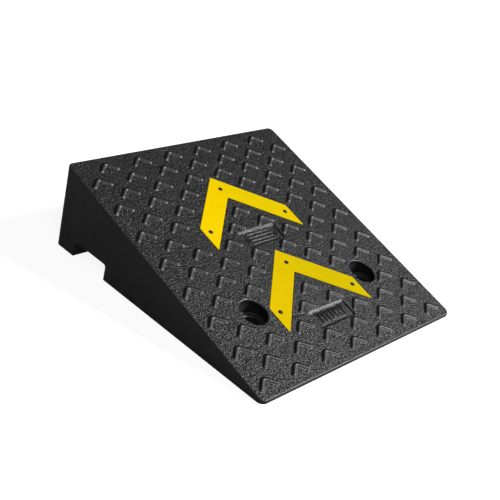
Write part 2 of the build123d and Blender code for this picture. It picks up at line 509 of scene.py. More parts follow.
# %% Shared effects
def pebble_group():
    """Pebbled mould grain: rounded cells whose borders wander, on a soft swell."""
    tree, given, result = shader_group("pebble_grain", ["Scale", "Wander", "Swell"], ["Height"])
    place, scale = given["Vector"], given["Scale"]
    noise = add_node(tree, "ShaderNodeTexNoise", {"Vector": place, "Scale": scale, "Detail": 2.0})
    offset = vector_node(tree, "SUBTRACT", noise["Color"], (0.5, 0.5, 0.5))
    shift = math_node(tree, "DIVIDE", given["Wander"], scale)
    step = add_node(tree, "ShaderNodeVectorMath", {0: offset, "Scale": shift}, operation="SCALE")[0]
    moved = {"Vector": vector_node(tree, "ADD", place, step), "Scale": scale, "Smoothness": 0.5}
    cells = add_node(tree, "ShaderNodeTexVoronoi", moved, feature="SMOOTH_F1")
    broad = math_node(tree, "MULTIPLY", scale, 0.6)
    swell = add_node(tree, "ShaderNodeTexNoise", {"Vector": place, "Scale": broad, "Detail": 1.0})["Fac"]
    raised = math_node(tree, "MULTIPLY", swell, given["Swell"])
    height = math_node(tree, "SUBTRACT", raised, cells["Distance"])
    tree.links.new(height, result["Height"])
    return tree


def patch_group():
    """Uneven patches, from broad clouds down to fine specks."""
    tree, given, result = shader_group("uneven_patches", ["Scale", "Detail"], ["Factor"])
    values = {label: given[label] for label in ("Vector", "Scale", "Detail")}
    noise = add_node(tree, "ShaderNodeTexNoise", {**values, "Roughness": 0.6})
    tree.links.new(ramp_between(tree, noise["Fac"], 0.3, 0.7), result["Factor"])
    return tree


pebble_grain = pebble_group()
uneven_patches = patch_group()
print("shared effects:", [g.name for g in bpy.data.node_groups])

# %% [markdown]
# ## Finishes: where the rubber shines
# The walls of the moulding are matt, and their lighter grey is dust and painted fill light, while the top
# has a slight sheen and a grained tread. Two materials by face would be simple, but would leave a hard line
# along the rolled edge. So one rubber serves the whole moulding, with masks from the coordinates and from
# the way that a face points: how far in from the walls it lies, how high over the slope, how flat it is,
# and whether it leans uphill.

# %% Rubber: masks
corner_radius = 11 * MM
tread_lean = (0.9, 0.99)
rib_start = (0.15 * MM, 0.7 * MM)


def depth_in_plan(tree, place):
    """How far a point lies inside the rounded outline of the walls, seen from above."""
    flat = vector_node(tree, "MULTIPLY", place, (1, 1, 0))
    straight = (half_width - corner_radius, half_length - corner_radius, 0)
    beyond = vector_node(tree, "SUBTRACT", vector_node(tree, "ABSOLUTE", flat), straight)
    reach = vector_node(tree, "LENGTH", vector_node(tree, "MAXIMUM", beyond))
    return math_node(tree, "SUBTRACT", corner_radius, reach)


def rubber_masks(tree, place):
    """Where a point of the moulding lies and which way it faces, as values by name."""
    facing = add_node(tree, "ShaderNodeNewGeometry", {})["Normal"]
    above = vector_node(tree, "SUBTRACT", place, tuple(on_slope(0, 0)))
    level = vector_node(tree, "DOT_PRODUCT", above, tuple(slope_normal))
    along = vector_node(tree, "DOT_PRODUCT", facing, tuple(slope_normal))
    even = ramp_between(tree, along, *tread_lean)
    below_rib = ramp_between(tree, level, *rib_start, 1.0, 0.0)
    axes = split(tree, place)
    return {
        "sideways": axes["X"],
        "rearwards": axes["Y"],
        "inside": depth_in_plan(tree, place),
        "level": level,
        "flat": math_node(tree, "MULTIPLY", even, below_rib),
        "uphill": vector_node(tree, "DOT_PRODUCT", facing, tuple(up_slope)),
        "upward": split(tree, facing)["Z"],
    }


print("the tread's plane faces", [round(v, 3) for v in slope_normal])

# %% [markdown]
# ## Finishes: the tread's grain
# The mould's grain is cut a little coarser towards the rear, and the ribs are nearly smooth. It could be
# real relief, but at this size that takes millions of faces, so it's a bump. A bump alone gives white
# glints when it's deep, so the pits between the pebbles also lose their sheen.

# %% Rubber: grain
front_grain = 480.0
rear_grain = 400.0
grain_wander = 0.6
grain_swell = 1.2
grain_depth = 0.6 * MM
grain_change = 0.1
gain_reach = 0.27
front_gain, middle_gain, rear_gain = 1.1, 1.9, 1.6
rib_grain = 0.08
pit_heights = (0.3, -0.16)
pit_loss = 0.87


def tread_grain(tree, place, masks):
    """Height of the mould grain, and how much of the sheen its pits lose."""
    grains = []
    for scale in (front_grain, rear_grain):
        values = {"Vector": place, "Scale": scale, "Wander": grain_wander, "Swell": grain_swell}
        grains.append(use_group(tree, pebble_grain, values))
    rearwards, flat = masks["rearwards"], masks["flat"]
    to_rear = ramp_between(tree, rearwards, -grain_change, grain_change)
    grain = mixed_value(tree, to_rear, *grains)
    to_middle = ramp_between(tree, rearwards, -gain_reach, 0.0, front_gain, middle_gain)
    from_middle = ramp_between(tree, rearwards, 0.0, half_length, middle_gain, rear_gain)
    gain = mixed_value(tree, to_rear, to_middle, from_middle)
    strength = math_node(tree, "MULTIPLY", gain, spread(tree, flat, rib_grain, 1.0))
    height = math_node(tree, "MULTIPLY", grain, strength)
    pits = math_node(tree, "MULTIPLY", flat, ramp_between(tree, grain, *pit_heights, 0.0, pit_loss))
    return height, pits


print("grain per metre:", front_grain, "at the front,", rear_grain, "at the rear")

# %% [markdown]
# ## Finishes: dust, painted light and sheen of the rubber
# Road dust greys the black rubber on the open top. Lighter greys on the walls, in the fixing holes and on
# the ledges at their bottom are dust and painted light together: fill light on the walls and in the holes,
# and light on the ledges. The recesses under the top keep the plain black as painted shade. The sheen is a
# thin clear coat, full on the flats of the tread. Faces that lean uphill, behind each rib, stay dull, and
# the sheen fades a little to the right: both are painted shade. All of it could be painted by hand on a map
# of the surface; the masks place it without one.

# %% Rubber: dust, painted light and sheen
clean_rubber = (0.009, 0.009, 0.0095)
# the dusty top is lighter than the plain black that the recesses keep as painted shade
dusty_lit_rubber = (0.016, 0.016, 0.0165)
# painted fill light: the holes' grey is dust, and it also lifts the shade on their walls
hole_film_and_fill_light = (0.032, 0.032, 0.032)
# painted light and settled dust: the ledges deep in the holes are lighter to stand in for the light arcs on
# their floors
settled_dust_and_light = (0.075, 0.072, 0.066)
# painted fill light: the walls' greys are dust, and are also lighter than the black to stand in for light
# on the walls
wall_film_and_fill_light = (0.031, 0.031, 0.032)
wall_dust_and_fill_light = (0.043, 0.043, 0.044)
wall_reach = (0.4 * MM, 2.2 * MM)
top_reach = (0.0, 0.5 * MM)
recess_shade_levels = (-9 * MM, -2.5 * MM)
rim_levels = (-3 * MM, -12 * MM)
hole_levels = (-60 * MM, -40 * MM)
ledge_levels = (-12 * MM, -18 * MM)
ledge_lean = (0.3, 0.8)
lit_lean = (0.1, 0.4)
# painted shade behind the ribs
uphill_lean = (0.004, 0.04)
uphill_shade_loss = 0.9
# painted shade: the sheen weakens towards the right side
right_sheen_shade = 0.84
rib_right_shade = 0.5
rib_polish = 0.88
rubber_roughness = (0.6, 0.7)


def rubber_colour(tree, masks, on_top, patches):
    """Black rubber: dust and painted light on top, in holes and on walls, painted shade in recesses."""
    level = masks["level"]
    # painted shade: recesses below the top, such as the channel and the cells, get no dust and stay darker
    dusty_lit_top = math_node(tree, "MULTIPLY", on_top, ramp_between(tree, level, *recess_shade_levels))
    dust = math_node(tree, "MULTIPLY", math_node(tree, "ADD", patches, dusty_lit_top), 0.5)
    colour = mixed_colour(tree, dust, clean_rubber, dusty_lit_rubber)
    # painted fill light and dust in the fixing holes
    below_rim = ramp_between(tree, level, *rim_levels)
    near_top = ramp_between(tree, level, *hole_levels)
    colour = mixed_colour(tree, math_node(tree, "MULTIPLY", below_rim, near_top), colour, hole_film_and_fill_light)
    # painted light and settled dust on the ledges deep in the holes
    deep = ramp_between(tree, level, *ledge_levels)
    ledge = ramp_between(tree, masks["upward"], *ledge_lean)
    colour = mixed_colour(tree, math_node(tree, "MULTIPLY", deep, ledge), colour, settled_dust_and_light)
    # painted fill light and dust on the walls
    on_wall = ramp_between(tree, masks["inside"], *wall_reach, 1.0, 0.0)
    return mixed_colour(tree, on_wall, colour, mixed_colour(tree, patches, wall_film_and_fill_light, wall_dust_and_fill_light))


def tread_sheen(tree, masks, on_top, pits):
    """Coat weight: full on flats, less on ribs, none on walls; painted shade behind ribs and to the right.
    """
    # painted shade behind each rib: faces that lean uphill lose their sheen
    behind = ramp_between(tree, masks["uphill"], *uphill_lean, 0.0, uphill_shade_loss)
    dull = math_node(tree, "MAXIMUM", pits, behind)
    lit = ramp_between(tree, masks["upward"], *lit_lean)
    bright = math_node(tree, "MAXIMUM", math_node(tree, "SUBTRACT", lit, dull))
    # painted shade: less sheen towards the right, as the light falls off
    right_shade = ramp_between(tree, masks["sideways"], -half_width, half_width, 0.0, 1 - right_sheen_shade)
    loss = math_node(tree, "MULTIPLY", right_shade, spread(tree, masks["flat"], rib_right_shade, 1.0))
    right_shaded_sheen = math_node(tree, "MULTIPLY", on_top, math_node(tree, "SUBTRACT", 1.0, loss))
    on_ribs = spread(tree, masks["flat"], rib_polish, 1.0)
    return math_node(tree, "MULTIPLY", math_node(tree, "MULTIPLY", right_shaded_sheen, on_ribs), bright)


def rubber_finish():
    """Black moulded rubber: walls grey with dust and painted fill light, a sheen on the top, a grained
    tread.
    """
    material, tree, shader, place = finish("moulded_rubber")
    masks = rubber_masks(tree, place)
    on_top = ramp_between(tree, masks["inside"], *top_reach)
    height, pits = tread_grain(tree, place, masks)
    patches = use_group(tree, uneven_patches, {"Vector": place, "Scale": 14.0, "Detail": 4.0})
    normal = bump(tree, height, grain_depth)
    tree.links.new(rubber_colour(tree, masks, on_top, patches), shader.inputs["Base Color"])
    tree.links.new(spread(tree, patches, *rubber_roughness), shader.inputs["Roughness"])
    tree.links.new(tread_sheen(tree, masks, on_top, pits), shader.inputs["Coat Weight"])
    tree.links.new(normal, shader.inputs["Normal"])
    tree.links.new(normal, shader.inputs["Coat Normal"])
    shader.inputs["Specular IOR Level"].default_value = 0.06
    shader.inputs["Coat IOR"].default_value = 1.642
    shader.inputs["Coat Roughness"].default_value = 0.44
    return material


rubber = rubber_finish()
print("rubber nodes:", len(rubber.node_tree.nodes))

# %% [markdown]
# ## Finishes: yellow coating
# The arrow plates are coated in a matt yellow with a faint orange-peel skin and uneven patches of wear. The
# front plate is a little darker than the rear one and the right arms darker than the left ones: painted
# shade, where less light falls. It could be painted on the plates; here two ramps along the axes do the
# same.

# %% Yellow coating
# painted shade and light: the front plate and right arms darker, the rear plate and left arms lighter
shaded_worn_yellow = {"right": (0.598, 0.45, 0.0005), "left": (0.695, 0.492, 0.0005)}
lit_fresh_yellow = {"right": (0.728, 0.534, 0.0005), "left": (0.885, 0.612, 0.0005)}
yellow_roughness = (0.42, 0.5)
uneven_share = 0.15
rear_light = 0.85
front_to_rear_light = (-0.03, 0.02)
right_to_left_light = (0.08, -0.08)
peel_scale = 900.0
peel_depth = 0.02 * MM


def yellow_finish():
    """Yellow coated plate with a faint orange-peel skin."""
    material, tree, shader, place = finish("yellow_coating")
    patches = use_group(tree, uneven_patches, {"Vector": place, "Scale": 30.0, "Detail": 5.0})
    axes = split(tree, place)
    uneven = math_node(tree, "MULTIPLY", patches, uneven_share)
    # painted shade: the front plate darker than the rear one, with uneven patches of wear on top
    to_rear = ramp_between(tree, axes["Y"], *front_to_rear_light, 0.0, rear_light)
    lit_and_fresh = math_node(tree, "ADD", uneven, to_rear)
    sides = [mixed_colour(tree, lit_and_fresh, shaded_worn_yellow[s], lit_fresh_yellow[s]) for s in ("right", "left")]
    # painted shade: the right arms darker than the left ones
    colour = mixed_colour(tree, ramp_between(tree, axes["X"], *right_to_left_light), *sides)
    peel_values = {"Vector": place, "Scale": peel_scale, "Wander": 0.4, "Swell": 0.0}
    peel = bump(tree, use_group(tree, pebble_grain, peel_values), peel_depth)
    tree.links.new(colour, shader.inputs["Base Color"])
    tree.links.new(spread(tree, patches, *yellow_roughness), shader.inputs["Roughness"])
    tree.links.new(peel, shader.inputs["Normal"])
    shader.inputs["Specular IOR Level"].default_value = 0.02
    return material


yellow = yellow_finish()
print("yellow nodes:", len(yellow.node_tree.nodes))

# %% [markdown]
# ## Finishes: rivets and washers
# The rivets are painted black, with the bare end of the mandrel in the middle, which an attribute of the
# mesh marks; a second material on those faces would do as well. The washers are zinc-plated steel, a
# little clouded by the weather.

# %% Metal
rivet_paint = (0.016, 0.014, 0.01)
bare_mandrel = (0.05, 0.042, 0.03)
dull_zinc = (0.34, 0.34, 0.35)
clear_zinc = (0.5, 0.5, 0.5)
rivet_roughness = (0.45, 0.6)
zinc_roughness = (0.32, 0.5)


def rivet_finish():
    """Black painted rivet head with the bare end of its mandrel in the middle."""
    material, tree, shader, place = finish("rivet_black")
    core = add_node(tree, "ShaderNodeAttribute", {}, attribute_name="core")["Fac"]
    patches = use_group(tree, uneven_patches, {"Vector": place, "Scale": 400.0, "Detail": 3.0})
    colour = mixed_colour(tree, core, rivet_paint, bare_mandrel)
    tree.links.new(colour, shader.inputs["Base Color"])
    tree.links.new(spread(tree, patches, *rivet_roughness), shader.inputs["Roughness"])
    shader.inputs["Specular IOR Level"].default_value = 0.2
    return material


def zinc_finish():
    """Zinc-plated steel, a little dull and clouded."""
    material, tree, shader, place = finish("zinc_plate")
    patches = use_group(tree, uneven_patches, {"Vector": place, "Scale": 220.0, "Detail": 6.0})
    colour = mixed_colour(tree, patches, dull_zinc, clear_zinc)
    tree.links.new(colour, shader.inputs["Base Color"])
    tree.links.new(spread(tree, patches, *zinc_roughness), shader.inputs["Roughness"])
    shader.inputs["Metallic"].default_value = 1.0
    return material


rivet_black = rivet_finish()
zinc = zinc_finish()
print("finishes:", [m.name for m in (rubber, yellow, rivet_black, zinc)])

# %% [markdown]
# ## Arrow plates: where they lie
# The two arrow plates set the layout of the whole top: their arms run at the same angle as the small
# arrow heads of the tread, and the pockets lie before and between them. The fixing holes are read from
# the frame. The plates' corners could be read from it too, but a few named sizes give every outline that
# is needed below, and the frame's own nodes serve to check them.

# %% Layout of the top
arm_angle = math.radians(43.2)
arm_slope = math.tan(arm_angle)
chevron_half = 108.2 * MM
chevron_band = 52.7 * MM
chevron_thickness = 2.0 * MM
chevron_proud = 0.5 * MM
chevron_fit = 0.4 * MM
chevron_seat = chevron_thickness - chevron_proud
rear_margin = 95.5 * MM
front_margin = 84.2 * MM
rear_apex = slope_length - rear_margin
front_apex = front_margin + chevron_half * arm_slope + chevron_band
apexes = {"rear_chevron": rear_apex, "front_chevron": front_apex}
rivet_end_inset = 13.9 * MM
rivet_apex_setback = 31 * MM

pocket_half = 45 * MM
pocket_length = 37.5 * MM
pocket_depth = 2.0 * MM
pocket_margin = 69 * MM
pocket_gap = 18.7 * MM
pocket_middles = [pocket_margin + pocket_length / 2, front_apex + pocket_gap + pocket_length / 2]

washer_low, washer_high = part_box("right_fixing_washer")
fixing_x = (washer_low.x + washer_high.x) / 2
fixing_y = (washer_low.y + washer_high.y) / 2
fixing_s = (fixing_y + half_length) / math.cos(slope)
fixing_axes = [(-fixing_x, fixing_y), (fixing_x, fixing_y)]
bore_radius = 24 * MM
bore_floor = 26.4 * MM
seat_radius = 14.5 * MM
seat_floor = washer_low.z
bolt_radius = 7.5 * MM


def chevron_corners(apex):
    """Corners of one arrow plate on the sloping plane, against the clock."""
    drop = chevron_half * arm_slope
    inner = apex - chevron_band
    right_side = [(chevron_half, inner - drop), (chevron_half, apex - drop)]
    left_side = [(-chevron_half, apex - drop), (-chevron_half, inner - drop)]
    return [*right_side, (0, apex), *left_side, (0, inner)]


def rivet_points(apex):
    """Places of the three rivets of one arrow plate."""
    end = chevron_half - rivet_end_inset
    end_s = apex - end * arm_slope - chevron_band / 2
    return [(0, apex - rivet_apex_setback), (-end, end_s), (end, end_s)]


for name, apex in apexes.items():
    low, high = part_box(name)
    front_edge = min(on_slope(x, s).y for x, s in chevron_corners(apex))
    print(name, "half width:", round(high.x, 4), "in the frame,", round(chevron_half, 4), "here")
    print(name, "front edge:", round(low.y, 4), "in the frame,", round(front_edge, 4), "here")

# %% [markdown]
# ## One tread rib
# Each rib is a small arrow head moulded with the body: a bar bent at its apex, with round tips, leaning
# flanks and a softly rounded crest. A curve with a bevel could give such a bar, but its tips would be cut
# off square. So it's built as rings of the bent bar's outline, wide at the foot and narrow at the crest,
# and its foot runs out softly into the surface.

# %% One rib
rib_pitch = 72.1 * MM
rib_row_pitch = 31.36 * MM
rib_first_row = 26.0 * MM
rib_offset = -2.4 * MM
rib_columns = 7
rib_rows = 16
rib_span = 33.7 * MM
rib_base = 4.35 * MM
rib_crest = 1.5 * MM
rib_height = 2.4 * MM
rib_bend = 6.1 * MM
rib_foot_radius = 2.3 * MM
rib_crest_radius = 3.1 * MM
rib_border = 0.1 * MM


def fan(centre, radius, start, end, steps):
    """Points of an arc from one angle to another, in degrees."""
    points = []
    for n in range(steps + 1):
        angle = math.radians(start + (end - start) * n / steps)
        points.append(Vector(centre) + Vector((math.cos(angle), math.sin(angle))) * radius)
    return points


def rib_outline(half):
    """Outline of an arrow head about its middle, its bar bent round the apex."""
    lean = math.degrees(arm_angle)
    middle = rib_span / 4 * arm_slope
    tip = rib_span / 2
    bend = (0, middle - rib_bend / math.cos(arm_angle))
    points = fan(bend, rib_bend + half, 90 - lean, 90 + lean, 6)
    points += fan((-tip, -middle), half, 90 + lean, 270 + lean, 6)
    points += fan(bend, rib_bend - half, 90 + lean, 90 - lean, 4)
    return points + fan((tip, -middle), half, -90 - lean, 90 - lean, 6)


def rib_profile():
    """Half-widths and heights from the foot of a rib to its crest."""
    outside = Vector((2 * rib_base, 0))
    foot = Vector((rib_base, 0))
    shoulder = Vector((rib_crest, rib_height))
    crest = Vector((0, rib_height))
    arc = arc_corner(outside, foot, shoulder, rib_foot_radius, 3)
    top = arc_corner(foot, shoulder, crest, rib_crest_radius, 4)
    return [arc[0] + Vector((rib_border, 0)), *arc, *top]


def rib_prototype():
    """One arrow head with an open foot, on the plane h = 0."""
    shell = Shell()
    rings = []
    for step in rib_profile():
        rings.append(shell.ring([(p.x, p.y, step.y) for p in rib_outline(step.x)]))
    shell.bands(rings)
    shell.face(rings[-1])
    return shell.plain_object("tread_rib")


tread_rib = rib_prototype()
half_widths = [round(p.x / MM, 2) for p in (rib_profile()[0], rib_profile()[-1])]
print("faces of one rib:", len(tread_rib.data.polygons), "half width of foot and crest:", half_widths)

# %% [markdown]
# ## Repeated forms
# Ribs, pocket bars and rivets are each one form that is set down several times. Loops or Array modifiers
# could copy them, but a Geometry Nodes tree shows its rule, with a named input for each size. A tree runs
# on an empty object here, and what it makes is kept as a plain mesh.


# %% Geometry Nodes helpers
def geometry_tree(name, sockets):
    """Empty Geometry Nodes tree with named inputs and one geometry output."""
    tree = bpy.data.node_groups.new(name, "GeometryNodeTree")
    for label, kind in sockets.items():
        tree.interface.new_socket(name=label, in_out="INPUT", socket_type="NodeSocket" + kind)
    tree.interface.new_socket(name="Geometry", in_out="OUTPUT", socket_type="NodeSocketGeometry")
    return tree, tree.nodes.new("NodeGroupInput").outputs


def shape_of(tree, socket):
    """Geometry of an object that is an input of the tree."""
    return add_node(tree, "GeometryNodeObjectInfo", {"Object": socket})["Geometry"]


def end_tree(tree, geometry, material):
    """Ends a tree in plain geometry with its finish."""
    whole = add_node(tree, "GeometryNodeRealizeInstances", {"Geometry": geometry})[0]
    finished = add_node(tree, "GeometryNodeSetMaterial", {"Geometry": whole, "Material": material})[0]
    add_node(tree, "NodeGroupOutput", {0: finished})


def grow(name, tree, values):
    """Runs a tree on an empty object and gives the result as a plain mesh."""
    holder = bpy.data.objects.new(name, bpy.data.meshes.new(name))
    bpy.context.scene.collection.objects.link(holder)
    modifier = holder.modifiers.new(name, "NODES")
    modifier.node_group = tree
    for item in tree.interface.items_tree:
        if item.in_out == "INPUT":
            modifier[item.identifier] = values[item.name]
    bpy.context.view_layer.update()
    depsgraph = bpy.context.evaluated_depsgraph_get()
    mesh = bpy.data.meshes.new_from_object(holder.evaluated_get(depsgraph), depsgraph=depsgraph)
    bpy.data.objects.remove(holder)
    return mesh


def remove(*helpers):
    """Removes helper objects that have no more use."""
    for helper in helpers:
        bpy.data.objects.remove(helper)


print("node groups before the trees:", [g.name for g in bpy.data.node_groups])

# %% [markdown]
# ## The tread's pattern
# The arrow heads stand in staggered rows and keep clear of the plates, pockets and holes. Placing 86
# copies by hand would hide the rule, so a Geometry Nodes tree lays out rows and columns, drops each
# point that lies near a keep-clear outline, sets a rib on what is left and makes it all one mesh.

# %% Tread pattern
rib_side_margin = 30 * MM
rib_clearance = 5 * MM


def pocket_corners(middle, sides=0.0, front=0.0, rear=0.0):
    """Corners of one pocket on the sloping plane, moved in from its sides, its front and its rear."""
    across = pocket_half - sides
    along = pocket_length / 2
    return rectangle(-across, middle - along + front, across, middle + along - rear)


def flat_sheet(name, outlines):
    """Flat faces on the sloping plane, which only keep the tread clear."""
    shell = Shell()
    for outline in outlines:
        shell.face(shell.ring([(x, s, 0) for x, s in outline]))
    return shell.plain_object(name)


def tread_tree():
    """Staggered rows of ribs that keep clear of what is let into the top."""
    sockets = {"Rib": "Object", "Keep Clear": "Object", "Material": "Material"}
    sockets.update({"Columns": "Int", "Rows": "Int"})
    for length in ("Pitch", "Row Pitch", "First Row", "Offset", "Side Limit", "Clearance"):
        sockets[length] = "Float"
    tree, given = geometry_tree("tread_pattern", sockets)

    index = add_node(tree, "GeometryNodeInputIndex", {})[0]
    row = math_node(tree, "FLOOR", math_node(tree, "DIVIDE", index, given["Columns"]))
    column = math_node(tree, "MODULO", index, given["Columns"])
    stagger = math_node(tree, "MULTIPLY", math_node(tree, "MODULO", row, 2.0), 0.5)
    middle = math_node(tree, "MULTIPLY", math_node(tree, "SUBTRACT", given["Columns"], 1.0), 0.5)
    step = math_node(tree, "ADD", math_node(tree, "SUBTRACT", column, middle), stagger)
    x = math_node(tree, "ADD", math_node(tree, "MULTIPLY", step, given["Pitch"]), given["Offset"])
    s = math_node(tree, "ADD", math_node(tree, "MULTIPLY", row, given["Row Pitch"]), given["First Row"])
    place = add_node(tree, "ShaderNodeCombineXYZ", {"X": x, "Y": s})[0]
    count = math_node(tree, "MULTIPLY", given["Columns"], given["Rows"])
    points = add_node(tree, "GeometryNodePoints", {"Count": count, "Position": place})[0]

    position = add_node(tree, "GeometryNodeInputPosition", {})[0]
    across = add_node(tree, "ShaderNodeSeparateXYZ", {"Vector": position})["X"]
    outside = math_node(tree, "GREATER_THAN", math_node(tree, "ABSOLUTE", across), given["Side Limit"])
    near = add_node(tree, "GeometryNodeProximity", {0: shape_of(tree, given["Keep Clear"])})["Distance"]
    blocked = math_node(tree, "LESS_THAN", near, given["Clearance"])
    dropped = math_node(tree, "MAXIMUM", outside, blocked)
    kept = add_node(tree, "GeometryNodeDeleteGeometry", {"Geometry": points, "Selection": dropped})[0]
    values = {"Points": kept, "Instance": shape_of(tree, given["Rib"])}
    placed = add_node(tree, "GeometryNodeInstanceOnPoints", values)[0]
    end_tree(tree, placed, given["Material"])
    return tree


bores_flat = [[p + Vector((x, fixing_s)) for p in circle(bore_radius, 24)] for x, _ in fixing_axes]
pockets_flat = [pocket_corners(m) for m in pocket_middles]
arrows_flat = [chevron_corners(a) for a in apexes.values()]
keep_clear = flat_sheet("keep_clear", arrows_flat + pockets_flat + bores_flat)
tread_mesh = grow("tread", tread_tree(), {
    "Rib": tread_rib,
    "Keep Clear": keep_clear,
    "Columns": rib_columns,
    "Rows": rib_rows,
    "Pitch": rib_pitch,
    "Row Pitch": rib_row_pitch,
    "First Row": rib_first_row,
    "Offset": rib_offset,
    "Side Limit": half_width - rib_side_margin,
    "Clearance": rib_clearance,
    "Material": rubber,
})
print("ribs on the tread:", len(tread_mesh.polygons) // len(tread_rib.data.polygons))
remove(tread_rib, keep_clear)

# %% [markdown]
# ## Pocket bars
# Each pocket carries plain raised bars, which break up its floor: short ones along the way of travel in
# the front pocket, long ones across it in the rear pocket. They could be modelled one by one; a second,
# smaller tree sets a row of them with an even step.


# %% Pocket bars
pocket_rear_bevel = 5.5 * MM
pocket_front_bevel = 3 * MM
floor_shift = (pocket_rear_bevel - pocket_front_bevel) / 2
# how far each ring of a bar lies in and how high, as shares of its half width and height
bar_rings = ((0, 0), (0.1, 0.06), (0.65, 0.9), (0.76, 1.0), (0.86, 1.0))
# half length, half width and height of a bar
short_size = (9 * MM, 1.4 * MM, 1.6 * MM)
long_size = (28 * MM, 0.95 * MM, 0.7 * MM)
short_step = Vector((9.5 * MM, 0, 0))
long_step = Vector((0, 7.2 * MM, 0))


def bar_prototype(bar_half_length, bar_half_width, bar_height, lengthwise):
    """One plain bar with round ends and an open foot, along the slope or across it."""
    shell = Shell()
    rings = []
    side = bar_half_length - bar_half_width
    for inset, height in bar_rings:
        half = bar_half_width * (1 - inset)
        points = fan((side, 0), half, -90, 90, 6) + fan((-side, 0), half, 90, 270, 6)
        if lengthwise:
            points = [Vector((-p.y, p.x)) for p in points]
        rings.append(shell.ring([(p.x, p.y, height * bar_height) for p in points]))
    shell.bands(rings)
    shell.face(rings[-1])
    return shell.plain_object("pocket_bar")


def bar_tree():
    """Bars side by side on the floor of a pocket."""
    sockets = {"Bar": "Object", "Count": "Int", "Start": "Vector", "Step": "Vector", "Material": "Material"}
    tree, given = geometry_tree("pocket_bars", sockets)
    row = {"Count": given["Count"], "Start Location": given["Start"], "Offset": given["Step"]}
    points = add_node(tree, "GeometryNodeMeshLine", row)[0]
    values = {"Points": points, "Instance": shape_of(tree, given["Bar"])}
    placed = add_node(tree, "GeometryNodeInstanceOnPoints", values)[0]
    end_tree(tree, placed, given["Material"])
    return tree


row_of_bars = bar_tree()


def bar_row(middle, bar, count, step):
    """A row of bars about the middle of a pocket's floor."""
    start = Vector((0, middle - floor_shift, -pocket_depth)) - step * (count - 1) / 2
    values = {"Bar": bar, "Count": count, "Start": start, "Step": step, "Material": rubber}
    mesh = grow("pocket_bars", row_of_bars, values)
    print("bars:", len(mesh.polygons) // len(bar.data.polygons))
    remove(bar)
    return mesh


front_pocket, rear_pocket = pocket_middles
short_bars = bar_row(front_pocket, bar_prototype(*short_size, lengthwise=True), 7, short_step)
long_bars = bar_row(rear_pocket, bar_prototype(*long_size, lengthwise=False), 4, long_step)

# %% [markdown]
# ## The moulded body: walls
# On the real ramp the body, tread, pockets and holes are one moulding, so here they are one skin too.
# The walls follow a rounded rectangle and roll over into the slope. A Bevel modifier could round that
# edge, but not evenly where upright corners meet the slope. So a ball of the edge's radius, rolled along
# the wall under the plane, gives each ring of the roll. Narrow borders keep the flats flat.

# %% Body: walls and rolled edge
edge_radius = 2 * MM
border = 0.5 * MM
body = Shell()
east, north, skyward = Vector((1, 0, 0)), Vector((0, 1, 0)), Vector((0, 0, 1))


def bordered_outline(corners, radius, steps):
    """Rounded outline with a point just before and after each rounded corner."""
    points = []
    for n, corner in enumerate(corners):
        arc = arc_corner(corners[n - 1], corner, corners[(n + 1) % len(corners)], radius, steps)
        before = arc[0] + (corners[n - 1] - arc[0]).normalized() * border
        after = arc[-1] + (corners[(n + 1) % len(corners)] - arc[-1]).normalized() * border
        points += [before, *arc, after]
    return points


def roll_rings(outline, outward, radius, steps):
    """Rings of a ball's path between an upright wall and the slope, from the wall to the plane."""
    rings = [[] for _ in range(steps + 1)]
    for point, out in zip(outline, outward):
        centre = Vector((*(point - out * radius), 0))
        centre.z = top_height(centre.y) - radius / math.cos(slope)
        level = Vector((*out, 0)).normalized()
        for n, ring in enumerate(rings):
            reach = radius * out.length if n == 0 else radius
            ring.append(centre + level.slerp(slope_normal, n / steps) * reach)
    return rings


def lowered(points, distance):
    """The same points, lower."""
    return [p - skyward * distance for p in points]


def on_plane(points):
    """Points of the sloping plane above points of the floor plan."""
    return [Vector((p[0], p[1], top_height(p[1]))) for p in points]


plan_corners = [Vector(c) for c in rectangle(-half_width, -half_length, half_width, half_length)]
outline = bordered_outline(plan_corners, corner_radius, 10)
outward = mitres(outline)
edge_roll = roll_rings(outline, outward, edge_radius, 6)
inner_edge = on_plane([Vector(p[:2]) - out * border for p, out in zip(edge_roll[-1], outward)])
base_ring = body.ring([(p.x, p.y, 0) for p in outline])
wall_ring = body.ring(lowered(edge_roll[0], border))
roll_rows = [body.ring(r) for r in edge_roll]
top_ring = body.ring(inner_edge)
body.bands([wall_ring, *roll_rows, top_ring])

corner_points = len(outline) // 4
right_start = 2 * corner_points - 1
left_start = 4 * corner_points - 1
for n in range(len(outline)):
    if n not in (right_start, left_start):
        m = (n + 1) % len(outline)
        body.face((base_ring[n], base_ring[m], wall_ring[m], wall_ring[n]))
print("faces of front and rear walls and rolled edge:", len(body.faces))

# %% [markdown]
# ## The moulded body: channel
# A channel runs under the rear from side to side, for a cable or for rain water. It could be cut with a
# Boolean, which leaves long thin faces in the side walls. Here its outline is a notch in both side walls,
# and bands join the two notches.

# %% Body: channel
rear_foot = 49 * MM
channel_width = 83 * MM
channel_rear = half_length - rear_foot
channel_front = channel_rear - channel_width
channel_height = 28 * MM
channel_corner = 5 * MM


def channel_profile():
    """Outline of the channel in the side wall, from its front foot over the roof to its rear foot."""
    foot = Vector((channel_front, 0))
    front = Vector((channel_front, channel_height))
    rear = Vector((channel_rear, channel_height))
    end = Vector((channel_rear, 0))
    first = arc_corner(foot, front, rear, channel_corner, 6)
    second = arc_corner(front, rear, end, channel_corner, 6)
    down, along = Vector((0, border)), Vector((border, 0))
    front_side = [foot, first[0] - down, *first, first[-1] + along]
    rear_side = [second[0] - along, *second, second[-1] - down, end]
    return front_side + rear_side


